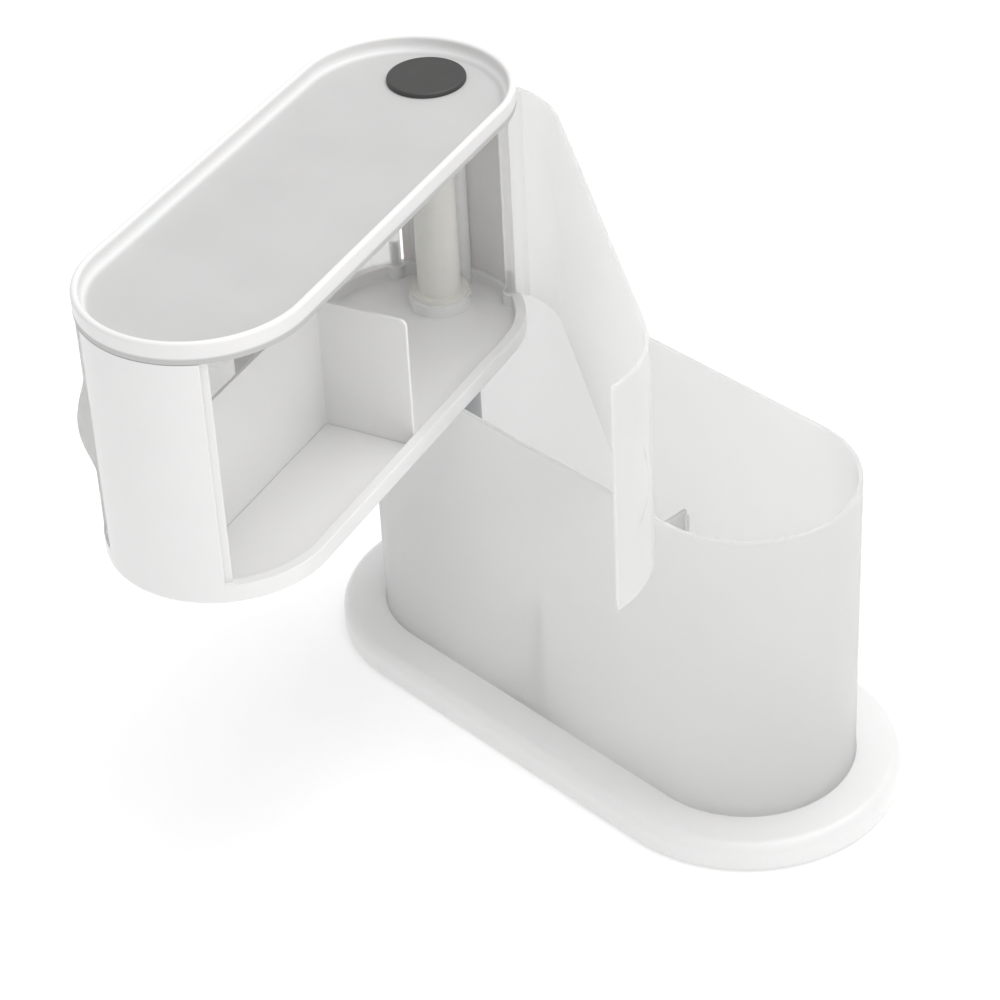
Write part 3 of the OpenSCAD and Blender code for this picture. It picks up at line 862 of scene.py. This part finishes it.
class ORGANIZER_OT_base(PieceOperator, bpy.types.Operator):
    """Dresses the base: its plate, the underplate, their screws and the feet"""
    bl_idname = "organizer.base"
    bl_label = "Base"

    def execute(self, context):
        self.plate(context.scene.organizer_shape)
        self.soften("base_underplate", "satin_white", "base", 0.3 * MM)
        self.screws("underplate_screws", "base", span("base_underplate", 2)[0] + UNDERPLATE_HEAD)
        self.feet()
        return {"FINISHED"}

    def plate(self, shape):
        """The base: its section swept round the outline, with ribs, bosses and screw holes."""
        low, top = span("base_plate", 2)
        outer = REAR_X - span("base_plate", 0)[0]
        inner = outer - shape.base_skin
        recess = END_R + 0.2 * MM
        section = rounded((0, DECK_LOW, 0), (inner, DECK_LOW, 1 * MM), (inner, low, 0.3 * MM),
                          (outer, low, 1 * MM), (outer, top, shape.base_edge), (recess, top, 0.3 * MM),
                          (recess, BIN_LOW, 0), (0, BIN_LOW, 0))
        sunk = 0.3 * MM
        under = span("base_underplate", 2)[1]
        width = inner + sunk
        half, rib_low, rib_high = shape.rib / 2, under + 1 * MM, DECK_LOW + sunk
        ribs = [((REAR_X - width, -half, rib_low), (FRONT_X + width, half, rib_high))]
        for x in (REAR_X + END_RIB, (REAR_X + FRONT_X) / 2 - MIDDLE_RIB, FRONT_X - END_RIB):
            ribs.append(((x, -width, rib_low), (x + shape.rib, width, rib_high)))
        plate_spots = middles("underplate_screws")
        deck_spots = middles("column_screws") + middles("bin_screws")
        bore = SHANKS["bin_screws"] + SCREW_PLAY
        bosses = [(spot, PLATE_BOSS_R, under, rib_high) for spot in plate_spots]
        holes = [(spot, SHANKS["underplate_screws"], low, DECK_LOW) for spot in plate_spots]
        holes += [(spot, bore, DECK_LOW - sunk, top) for spot in deck_spots]
        holes += [(spot, HEAD_ROOM_R, under, DECK_LOW) for spot in deck_spots]
        self.mould("base_plate", "satin_white", "base", section,
                   {"blocks": ribs, "rods": bosses}, {"rods": holes})

    def feet(self):
        """Round rubber feet with a rounded lower edge."""
        low, high = islands("rubber_feet")[0]
        radius, height = (high.x - low.x) / 2, high.z - low.z
        dish = 0.3 * MM
        section = rounded((0, dish, 0), (radius * 0.6, dish, 0), (radius * 0.66, 0, 0),
                          (radius, 0, 0.6 * MM), (radius, height, 0), (0, height, 0))
        spots = [(*middle, low.z) for middle in middles("rubber_feet")]
        mesh = self.set_on_spots("feet", "turned_at_spots", section, spots, "foot_rubber", {"Steps": 32})
        new_piece("rubber_feet_turned", mesh, "foot_rubber", "base", "rubber_feet")


class ORGANIZER_OT_bin(PieceOperator, bpy.types.Operator):
    """Dresses the frosted lower bin, its divider and its screws"""
    bl_idname = "organizer.bin"
    bl_label = "Lower bin"

    def execute(self, context):
        self.bin(context.scene.organizer_shape)
        self.soften("bin_divider", "milky_bin", "base", 0.4 * MM)
        self.screws("bin_screws", "base", DECK_LOW)
        return {"FINISHED"}

    def bin(self, shape):
        """The bin: its section swept round the outline, with guides, bosses and screw holes."""
        inner, floor = END_R - shape.bin_wall, BIN_LOW + shape.bin_floor
        # The underside stays just clear of the base, so that no two faces coincide
        low = BIN_LOW + 0.05 * MM
        rim = shape.bin_wall * RIM_SHARE
        section = rounded((0, low, 0), (END_R, low, 0.5 * MM), (END_R, BIN_RIM, rim),
                          (inner, BIN_RIM, rim), (inner, floor, 1.5 * MM), (0, floor, 0))
        sunk = 0.5 * MM
        (near, far), top = span("bin_divider", 0), span("bin_divider", 2)[1] - 2 * MM
        guides = []
        for side in (-1, 1):
            for edge, beyond in ((near - GUIDE, near), (far, far + GUIDE)):
                reach = sorted((side * (inner + sunk), side * (inner - GUIDE_DEPTH)))
                guides.append(((edge, reach[0], floor - sunk), (beyond, reach[1], top)))
        bore, boss_top, spots = SHANKS["bin_screws"], floor + shape.bin_boss, middles("bin_screws")
        bosses = [(spot, POST_R, floor - sunk, boss_top) for spot in spots]
        holes = [(spot, bore, BIN_LOW - sunk, boss_top - 2 * MM) for spot in spots]
        holes += [(spot, bore + SCREW_PLAY, BIN_LOW - sunk, floor + sunk)
                  for spot in middles("column_screws")]
        self.mould("lower_bin", "milky_bin", "base", section,
                   {"blocks": guides, "rods": bosses}, {"rods": holes}, crossing=False)


class ORGANIZER_OT_swivel(PieceOperator, bpy.types.Operator):
    """Dresses the column, the axle and what holds the tier on them"""
    bl_idname = "organizer.swivel"
    bl_label = "Swivel"

    def execute(self, context):
        self.soften("pivot_column", "column_grey", "base", 0.4 * MM)
        self.screws("column_screws", "base", DECK_LOW)
        for node in ("pivot_axle", "axle_washer", "axle_screw"):
            self.dress(node, "zinc_steel")
        for node in ("bearing_washer", "hub_tube"):
            self.dress(node, "bearing_ivory")
        return {"FINISHED"}


class ORGANIZER_OT_tier(PieceOperator, bpy.types.Operator):
    """Dresses the tier, its divider, its tray and the cap over the swivel axis"""
    bl_idname = "organizer.tier"
    bl_label = "Tier and tray"

    def execute(self, context):
        self.body(context.scene.organizer_shape)
        self.soften("tier_divider", "satin_white", "tier", 0.4 * MM)
        self.tray(context.scene.organizer_shape)
        self.cap()
        self.screws("tray_screws", "tier", span("tray_screws", 2)[0] + HEAD_H)
        return {"FINISHED"}

    def body(self, shape):
        """The tier: its floor and sill swept round the outline, with end walls, lips, posts and bosses."""
        low, sill = span("tier_body", 2)[0], DOOR_LOW - 0.5 * MM
        floor, inner = low + TIER_FLOOR, END_R - shape.sill
        section = rounded((0, low, 0), (END_R, low, 1.5 * MM), (END_R, sill, 0.4 * MM),
                          (inner, sill, 0.4 * MM), (inner, floor, 0.6 * MM), (0, floor, 0))
        sunk, post_top = 0.6 * MM, span("tray_top", 2)[0]
        pins = (RIGHT_HINGE, LEFT_HINGE)
        posts = middles("tray_screws")
        rods = [(AXIS, HUB_BOSS_R, floor - sunk, sill)]
        rods += [(spot, POST_R, floor - sunk, post_top) for spot in posts]
        prisms = [(plan, sill - sunk, TRAY_LOW) for plan in self.walls(shape)]
        prisms += [(self.pin_boss(pin), floor - sunk, sill - 0.01 * MM) for pin in pins]
        holes = [(AXIS, HUB_R, low - sunk, sill + sunk)]
        holes += [(spot, HEAD_WELL_R, low - sunk, post_top - 2.5 * MM) for spot in posts]
        holes += [(spot, SHANKS["tray_screws"] + 0.2 * MM, low, post_top + sunk) for spot in posts]
        holes += [(pin, PIN_R, sill - 4.3 * MM, sill + sunk) for pin in pins]
        grooves = [(in_tier(plan), floor - 1 * MM, floor + sunk) for plan in self.grooves(inner)]
        self.mould("tier_body", "satin_white", "tier", section, {"rods": rods, "prisms": prisms},
                   {"rods": holes, "prisms": grooves}, TIER_TURN)

    def grooves(self, inner):
        """Plans of the two grooves in the floor that the boards of the divider stand in."""
        return [[(x0, y0), (x1, y0), (x1, y1), (x0, y1)] for x0, x1, y0, y1 in (
            (BOARD_X - GROOVE, BOARD_X + GROOVE, -inner, inner),
            (BOARD_X, FRONT_X + inner, -GROOVE, GROOVE))]

    def walls(self, shape):
        """Plans of the end walls, the thin wings beside the hinges and the lips that the doors close on."""
        skin, thin = 0.02 * MM, END_R - 1.1 * MM
        outer, inner = END_R - skin, END_R - shape.tier_wall
        right, left = shape.right_edge - EDGE_GAP, shape.left_edge - EDGE_GAP
        plans = [bent_wall(FRONT_X, outer, inner, -left, right, 0.5 * MM)]
        plans += [bent_wall(REAR_X, outside, inside, math.pi - half, math.pi + half, edge)
                  for outside, inside, half, edge in ((outer, inner, REAR_WALL, 0.5 * MM),
                                                      (outer - skin, thin, REAR_WING, 0.3 * MM))]
        lip = END_R - shape.door_inset - shape.door_wall - 0.3 * MM
        for edge, side in ((right, 1), (left, -1)):
            for start, stop, outside, inside in (
                    (edge - LIP_ARC, edge + LIP_ARC, lip, lip - 1.4 * MM),
                    (edge - 0.9 * LIP_ARC, edge - LIP_ARC / 8, thin, lip - 1.35 * MM)):
                ends = sorted((side * start, side * stop))
                plans.append(bent_wall(FRONT_X, outside, inside, *ends, 0.3 * MM))
        return plans

    def pin_boss(self, spot):
        """Plan of the boss round a hinge pin, cut off inside the outline of the tier."""
        middle = Vector((REAR_X * math.cos(TIER_TURN), REAR_X * math.sin(TIER_TURN)))
        plan = []
        for n in range(BOSS_SIDES):
            angle = 2 * math.pi * n / BOSS_SIDES
            away = spot + Vector((math.cos(angle), math.sin(angle))) * PIN_BOSS_R - middle
            plan.append(middle + away.normalized() * min(away.length, END_R - 1 * MM))
        return plan

    def tray(self, shape):
        """The tray: its section swept round the outline, with the boss and the screw posts under it."""
        low, inner, rim = TRAY_LOW, END_R - shape.tray_wall, shape.tray_wall * RIM_SHARE
        section = rounded((0, low, 0), (END_R, low, 0.8 * MM), (END_R, TRAY_RIM, rim),
                          (inner, TRAY_RIM, rim), (inner, TRAY_FLOOR, shape.tray_fillet), (0, TRAY_FLOOR, 0))
        sunk = 0.5 * MM
        web = span("hub_tube", 2)[1]
        post_low = span("tray_top", 2)[0]
        posts = middles("tray_screws")
        axle_bore = span("pivot_axle", 0)[1] + 0.3 * MM
        rods = [(AXIS, shape.tray_boss, web - 3 * MM, low + sunk)]
        rods += [(spot, TRAY_POST_R, post_low, low + sunk) for spot in posts]
        holes = [(AXIS, HUB_R, web - 4 * MM, web), (AXIS, axle_bore, web - sunk, TRAY_FLOOR + sunk),
                 (AXIS, CAP_SKIRT_R + 0.1 * MM, web + 2.5 * MM, TRAY_FLOOR + sunk)]
        holes += [(spot, SHANKS["tray_screws"], post_low - sunk, low) for spot in posts]
        holes += [(pin, PIN_R, low - sunk, low + 2.7 * MM) for pin in (RIGHT_HINGE, LEFT_HINGE)]
        self.mould("tray_top", "tray_white", "tier", section, {"rods": rods}, {"rods": holes}, TIER_TURN)

    def cap(self):
        """The round cap, with a skirt that presses into the tray."""
        radius, (low, top) = span("pivot_cap", 0)[1], span("pivot_cap", 2)
        inner = CAP_SKIRT_R - 2 * MM
        section = rounded((0, TRAY_FLOOR, 0), (inner, TRAY_FLOOR, 0), (inner, low, 0.4 * MM),
                          (CAP_SKIRT_R, low, 0.4 * MM), (CAP_SKIRT_R, TRAY_FLOOR, 0),
                          (radius, TRAY_FLOOR, 0.2 * MM), (radius, top, 1 * MM), (0, top, 0))
        mesh = shaded(self.sweep("cap_shell", section, "cap_charcoal", rear=0.0, front=0.0))
        new_piece("pivot_cap_turned", mesh, "cap_charcoal", "tier", "pivot_cap")


class ORGANIZER_OT_doors(PieceOperator, bpy.types.Operator):
    """Dresses the two swing doors and their hinge pins"""
    bl_idname = "organizer.doors"
    bl_label = "Doors"

    def execute(self, context):
        shape = context.scene.organizer_shape
        self.door(shape, "right_door", "right_swing", 1, shape.right_edge, RIGHT_OPEN)
        self.door(shape, "left_door", "left_swing", -1, shape.left_edge, 0.0)
        for node in ("right_door_pins", "left_door_pins"):
            self.dress(node, "zinc_steel")
        return {"FINISHED"}

    def door(self, shape, node, body, side, edge, opened):
        """A door shell that follows the outline from its hinge to its free edge."""
        hinge, sunk = (HINGE_X, HINGE_Y), 0.5 * MM
        added = solids(node + "_barrel", (), [(hinge, shape.barrel, DOOR_LOW, DOOR_TOP)])
        removed = solids(node + "_bores", (), [
            (hinge, DOOR_BORE_R, DOOR_LOW - sunk, DOOR_LOW + shape.pin_seat),
            (hinge, DOOR_BORE_R, DOOR_TOP - shape.pin_seat, DOOR_TOP + sunk)])
        mesh = carved(self.shell(node, shape, edge), added, removed)
        at_hinge = Matrix.Translation((HINGE_X, side * HINGE_Y, 0))
        mesh.transform(Matrix.Rotation(TIER_TURN, 4, "Z") @ at_hinge @ Matrix.Rotation(side * opened, 4, "Z")
                       @ at_hinge.inverted() @ Matrix.Diagonal((1, side, 1, 1)))
        if side < 0:
            mesh.flip_normals()
        new_piece(node + "_moulding", shaded(mesh), "milky_door", body, node)

    def shell(self, node, shape, edge):
        """The curved sheet of a door as it lies closed on the right side, with its finger pull."""
        outer = END_R - shape.door_inset
        hinge_angle = math.atan2(HINGE_Y, HINGE_X - REAR_X)
        rear_arc, straight = outer * (hinge_angle - QUARTER), FRONT_X - REAR_X
        length = rear_arc + straight + outer * (QUARTER - edge)
        pull_at = length - outer * PULL_BACK
        middle = (DOOR_LOW + DOOR_TOP) / 2
        across = eased(length, shape.door_edge, DOOR_STEP)
        up = eased(DOOR_TOP - DOOR_LOW, shape.door_edge, DOOR_STEP)

        def place(along, height, inside):
            near_edge = min(along, length - along, height, DOOR_TOP - DOOR_LOW - height)
            reach = max(0.0, shape.door_edge - near_edge)
            rounding = shape.door_edge - math.sqrt(max(0.0, shape.door_edge ** 2 - reach ** 2))
            if inside:
                past = along / outer - shape.stile_arc
                thick = shape.stile * min(1.0, max(0.0, 1 - past / STILE_FADE))
                offset = rounding - shape.door_wall - thick
            else:
                spread = ((along - pull_at) / shape.pull_half_width) ** 2 \
                    + ((DOOR_LOW + height - middle) / shape.pull_half_height) ** 2
                offset = shape.pull_rise * max(0.0, 1 - spread) ** 1.5 - rounding
            if along < rear_arc:
                centre, angle = REAR_X, hinge_angle - along / outer
            elif along < rear_arc + straight:
                centre, angle = REAR_X + along - rear_arc, QUARTER
            else:
                centre, angle = FRONT_X, QUARTER - (along - rear_arc - straight) / outer
            radius = outer + offset
            return centre + radius * math.cos(angle), radius * math.sin(angle), DOOR_LOW + height

        points = [place(along, height, inside)
                  for inside in (False, True) for along in across for height in up]
        return sheet_mesh(node + "_shell", points, len(across), len(up))


class ORGANIZER_OT_stage(bpy.types.Operator):
    """Sets up the floor, the soft studio light and the camera"""
    bl_idname = "organizer.stage"
    bl_label = "Stage"
    bl_options = {"REGISTER", "UNDO"}

    def execute(self, context):
        studio = context.scene.organizer_stage
        self.floor(studio.floor_glow)
        self.light("top_softbox", (0.3, 0.4, 1.7), (1.8, 1.4), studio.overhead)
        self.light("side_softbox", (1.1, -0.5, 1.0), (1.0, 1.2), studio.side)
        self.sky(context, studio.sky)
        self.camera(context, studio)
        context.scene.view_settings.view_transform = "Standard"
        return {"FINISHED"}

    def floor(self, glow):
        """A pale floor that reaches far past the picture."""
        half = 4.0
        corners = [(-half, -half, 0), (half, -half, 0), (half, half, 0), (-half, half, 0)]
        mesh = bpy.data.meshes.new("floor")
        mesh.from_pydata(corners, [], [(0, 1, 2, 3)])
        finish = Finish("pale_floor", (0.94, 0.94, 0.94), Roughness=0.6,
                        Emission_Color=(1, 1, 1, 1), Emission_Strength=glow)
        mesh.materials.append(finish.material)
        linked("floor", mesh)

    def light(self, name, spot, size, power):
        """A softbox that faces the middle of the organizer."""
        lamp = bpy.data.lights.new(name, "AREA")
        lamp.shape = "RECTANGLE"
        lamp.size, lamp.size_y = size
        lamp.energy = power
        holder = linked(name, lamp)
        holder.location = spot
        aim = Vector((FRONT_X / 2, 0, BIN_RIM)) - holder.location
        holder.rotation_euler = aim.to_track_quat("-Z", "Y").to_euler()

    def sky(self, context, strength):
        """Even white light from all round."""
        world = bpy.data.worlds.new("studio_white")
        world.use_nodes = True
        background = world.node_tree.nodes["Background"]
        background.inputs["Color"].default_value = (1, 1, 1, 1)
        background.inputs["Strength"].default_value = strength
        context.scene.world = world

    def camera(self, context, studio):
        """A long lens that looks down past the front end."""
        level = Matrix.Rotation(studio.azimuth, 3, "Z") @ Matrix.Rotation(-studio.elevation, 3, "Y")
        back = level @ Vector((1, 0, 0))
        right = level @ Vector((0, 1, 0))
        up = back.cross(right)
        rolled_right = right * math.cos(studio.roll) + up * math.sin(studio.roll)
        rolled_up = up * math.cos(studio.roll) - right * math.sin(studio.roll)
        spot = back * studio.distance + rolled_right * studio.aim_right + rolled_up * studio.aim_up
        lens = bpy.data.cameras.new("studio_camera")
        lens.sensor_width = 36
        lens.lens = studio.lens
        camera = linked("studio_camera", lens)
        placed = Matrix((rolled_right, rolled_up, back)).transposed().to_4x4()
        placed.translation = spot
        camera.matrix_world = placed
        context.scene.camera = camera


class ORGANIZER_PT_panel(bpy.types.Panel):
    """Sizes, colours and steps of the organizer"""
    bl_label = "Vanity organizer"
    bl_idname = "ORGANIZER_PT_panel"
    bl_space_type = "VIEW_3D"
    bl_region_type = "UI"
    bl_category = "Organizer"

    def draw(self, context):
        layout = self.layout
        for step in STEPS:
            layout.operator(step.bl_idname)
        for settings in SETTINGS:
            box = layout.box()
            group = getattr(context.scene, settings)
            for name in group.__annotations__:
                box.prop(group, name)


STEPS = (ORGANIZER_OT_base, ORGANIZER_OT_bin, ORGANIZER_OT_swivel, ORGANIZER_OT_tier,
         ORGANIZER_OT_doors, ORGANIZER_OT_stage)
SETTINGS = {"organizer_shape": OrganizerShape, "organizer_finish": OrganizerFinish,
            "organizer_stage": OrganizerStage}


def register():
    for kind in (*SETTINGS.values(), *STEPS, ORGANIZER_PT_panel):
        bpy.utils.register_class(kind)
    for name, kind in SETTINGS.items():
        setattr(bpy.types.Scene, name, bpy.props.PointerProperty(type=kind))


def unregister():
    for name in SETTINGS:
        delattr(bpy.types.Scene, name)
    for kind in (ORGANIZER_PT_panel, *reversed(STEPS), *reversed(SETTINGS.values())):
        bpy.utils.unregister_class(kind)


def main():
    register()
    bpy.ops.organizer.base()
    bpy.ops.organizer.bin()
    bpy.ops.organizer.swivel()
    bpy.ops.organizer.tier()
    bpy.ops.organizer.doors()
    bpy.ops.organizer.stage()


if __name__ == "__main__":
    main()
